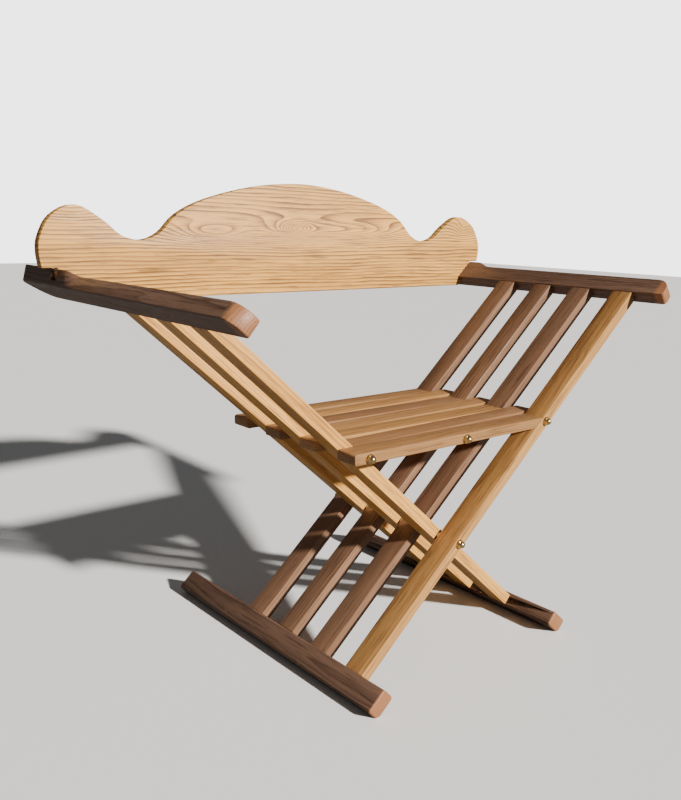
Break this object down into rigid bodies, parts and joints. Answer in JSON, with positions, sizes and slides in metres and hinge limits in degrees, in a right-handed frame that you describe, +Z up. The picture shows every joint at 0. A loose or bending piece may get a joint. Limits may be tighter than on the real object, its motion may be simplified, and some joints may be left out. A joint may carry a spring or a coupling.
{
  "type": "folding armchair",
  "caption": "Scissor-folding armchair of interleaved wooden slats, with dark arms and foot rails, domed brass nuts and a shaped back board that lifts off.",
  "frame": {"origin": "middle of the bounding box's bottom face, on the floor", "axes": "+Z up, the sitter faces -Y, +X runs along the back board to the right of someone who looks at the chair's front"},
  "size_m": [1.01, 0.6474, 0.8003],
  "materials": {
    "pale_wood": "satin lacquered oak",
    "dark_wood": "worn dark walnut",
    "brass": "polished",
    "steel": "plain rod and washers"
  },
  "bodies": {
    "crossing": {"crossing_rod": "steel", "crossing_rod_nut_front": "brass", "crossing_rod_nut_rear": "brass", "crossing_rod_spacer_1": "steel", "crossing_rod_spacer_2": "steel", "crossing_rod_spacer_3": "steel", "crossing_rod_spacer_4": "steel", "crossing_rod_spacer_5": "steel", "crossing_rod_spacer_6": "steel"},
    "leg_set_right": {"leg_right_1": "pale_wood", "leg_right_3": "pale_wood", "leg_right_5": "pale_wood", "leg_right_7": "pale_wood", "arm_right": "dark_wood", "foot_rail_left": "dark_wood", "right_seat_rod": "steel", "right_seat_rod_nut_front": "brass", "right_seat_rod_nut_rear": "brass", "right_seat_rod_spacer_1": "steel", "right_seat_rod_spacer_2": "steel", "right_seat_rod_spacer_3": "steel", "right_seat_rod_spacer_4": "steel", "right_seat_rod_spacer_5": "steel", "right_seat_rod_spacer_6": "steel"},
    "leg_set_left": {"leg_left_2": "pale_wood", "leg_left_4": "pale_wood", "leg_left_6": "pale_wood", "arm_left": "dark_wood", "foot_rail_right": "dark_wood", "left_seat_rod": "steel", "left_seat_rod_nut_front": "brass", "left_seat_rod_nut_rear": "brass", "left_seat_rod_spacer_1": "steel", "left_seat_rod_spacer_2": "steel", "left_seat_rod_spacer_3": "steel", "left_seat_rod_spacer_4": "steel", "left_seat_rod_spacer_5": "steel", "left_seat_rod_spacer_6": "steel"},
    "seat_left": {"seat_slat_left_1": "pale_wood", "seat_slat_left_3": "pale_wood", "seat_slat_left_5": "pale_wood", "seat_slat_left_7": "pale_wood", "centre_rod_1": "steel", "centre_rod_3": "steel", "centre_rod_5": "steel", "centre_rod_7": "steel", "centre_rod_nut_front": "brass", "centre_rod_nut_rear": "brass"},
    "seat_right": {"seat_slat_right_2": "pale_wood", "seat_slat_right_4": "pale_wood", "seat_slat_right_6": "pale_wood", "centre_rod_2": "steel", "centre_rod_4": "steel", "centre_rod_6": "steel"},
    "back_board": {"back_board": "pale_wood"}
  },
  "joints": [
    {"name": "fold", "type": "hinge", "parent": "crossing", "child": "leg_set_right", "pos_m": [0, -0.09915, 0.2183], "axis": [0, -1, 0], "range_deg": [0, 42.5]},
    {"name": "fold_left", "type": "hinge", "parent": "crossing", "child": "leg_set_left", "pos_m": [0, -0.09915, 0.2183], "axis": [0, 1, 0], "range_deg": [0, 42.6]},
    {"name": "seat_left_hinge", "type": "hinge", "parent": "leg_set_left", "child": "seat_left", "pos_m": [-0.21121, -0.09915, 0.40516], "axis": [0, -1, 0], "range_deg": [0, 125]},
    {"name": "seat_right_hinge", "type": "hinge", "parent": "leg_set_right", "child": "seat_right", "pos_m": [0.21121, -0.09915, 0.40516], "axis": [0, 1, 0], "range_deg": [0, 125]},
    {"name": "board_lift", "type": "slide", "parent": "crossing", "child": "back_board", "axis": [0, 0, 1], "range_m": [0, 0.668]}
  ],
  "couplings": [
    {"joint": "fold_left", "follows": "fold", "ratio": 1},
    {"joint": "seat_left_hinge", "follows": "fold", "ratio": 2.9372},
    {"joint": "seat_right_hinge", "follows": "fold", "ratio": 2.9372},
    {"joint": "board_lift", "follows": "fold", "m_per_rad": 0.9}
  ]
}
